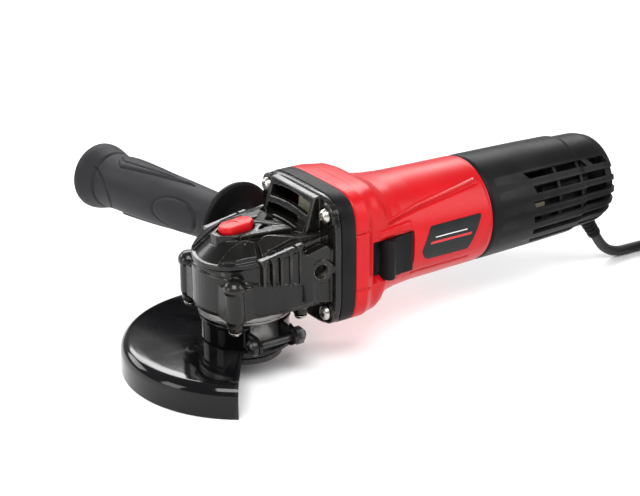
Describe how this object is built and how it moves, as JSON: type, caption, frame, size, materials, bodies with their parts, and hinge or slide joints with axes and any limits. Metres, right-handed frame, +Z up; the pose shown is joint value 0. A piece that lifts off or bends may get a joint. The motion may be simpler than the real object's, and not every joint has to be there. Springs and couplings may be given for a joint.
{
  "type": "angle grinder",
  "caption": "Compact angle grinder with a half-round wheel guard, an angled side handle, a slide switch on the near side and a mains lead.",
  "frame": {"origin": "centre of the end face of the spindle, where the disc is fitted", "axes": "+X along the motor from the spindle to the rear cap, +Y towards the side handle, +Z up along the spindle, away from the disc"},
  "size_m": [0.4153, 0.3342, 0.0978],
  "materials": {
    "red_plastic": "satin moulded, fine orange peel",
    "black_plastic": "matt moulded, fine texture",
    "painted_casting": "gloss black paint over a die casting",
    "guard_paint": "high gloss black paint on pressed steel",
    "grip_rubber": "soft matt charcoal",
    "bright_steel": "machined",
    "dark_steel": "blackened",
    "lamination": "stacked sheet",
    "copper": "enamelled copper",
    "brass": "pressed",
    "carbon": "pressed carbon",
    "inner_plastic": "plain moulded",
    "label_film": "printed film, no lettering",
    "cord_sheath": "satin rubber"
  },
  "bodies": {
    "housing": {"gear_housing": "painted_casting", "flange_ring": "black_plastic", "head_screw_1": "bright_steel", "head_screw_2": "bright_steel", "head_screw_3": "bright_steel", "head_screw_4": "bright_steel", "bearing_cover": "bright_steel", "cover_screw_1": "bright_steel", "cover_screw_2": "bright_steel", "cover_screw_3": "bright_steel", "cover_screw_4": "bright_steel", "spindle_bearing": "bright_steel", "spindle_bush": "brass", "lock_spring": "bright_steel", "motor_housing": "red_plastic", "rear_cap": "black_plastic", "cap_screw": "dark_steel", "power_switch": "black_plastic", "label_plate": "label_film", "fan_baffle": "inner_plastic", "front_bearing": "bright_steel", "rear_bearing": "bright_steel", "stator_core": "lamination", "field_coil_1": "copper", "field_coil_2": "copper", "brush_holder_1": "brass", "brush_holder_2": "brass", "carbon_brush_1": "carbon", "carbon_brush_2": "carbon", "cord_guard": "cord_sheath", "cord_clamp": "inner_plastic", "mains_cord": "cord_sheath", "cord_coil": "cord_sheath", "mains_plug": "cord_sheath"},
    "armature": {"armature_shaft": "bright_steel", "armature_core": "lamination", "commutator": "copper", "cooling_fan": "black_plastic", "drive_pinion": "dark_steel"},
    "output_spindle": {"spindle": "bright_steel", "ring_gear": "dark_steel", "inner_flange": "dark_steel", "flange_nut": "dark_steel"},
    "lock": {"lock_button": "red_plastic", "lock_pin": "bright_steel"},
    "switch": {"switch_slider": "black_plastic", "switch_rod": "inner_plastic"},
    "guard": {"wheel_guard": "guard_paint", "guard_collar": "guard_paint", "clamp_nut": "dark_steel"},
    "clamp": {"clamp_screw": "dark_steel"},
    "side_handle": {"handle_bolt": "bright_steel", "handle_core": "black_plastic", "handle_grip": "grip_rubber"}
  },
  "joints": [
    {"name": "armature_spin", "type": "hinge", "parent": "housing", "child": "armature", "pos_m": [0.1, 0, 0.056], "axis": [1, 0, 0], "continuous": true},
    {"name": "spindle_spin", "type": "hinge", "parent": "housing", "child": "output_spindle", "pos_m": [0, 0, 0.026], "axis": [0, 0, 1], "continuous": true},
    {"name": "lock_press", "type": "slide", "parent": "housing", "child": "lock", "axis": [0, 0, -1], "range_m": [0, 0.003], "stiffness_N_per_m": 1200, "deforming": ["lock_spring"]},
    {"name": "switch_slide", "type": "slide", "parent": "housing", "child": "switch", "axis": [-1, 0, 0], "range_m": [0, 0.0035]},
    {"name": "guard_turn", "type": "hinge", "parent": "housing", "child": "guard", "pos_m": [0, 0, 0.016], "axis": [0, 0, 1], "range_deg": [-150, 25]},
    {"name": "clamp_turn", "type": "hinge", "parent": "guard", "child": "clamp", "pos_m": [0, -0.03, 0.02], "axis": [1, 0, 0], "range_deg": [0, 360]},
    {"name": "handle_out", "type": "slide", "parent": "housing", "child": "side_handle", "axis": [-0.1579, 0.9867, -0.0395], "range_m": [0, 0.014]}
  ],
  "couplings": [
    {"joint": "spindle_spin", "follows": "armature_spin", "ratio": 0.33333}
  ]
}
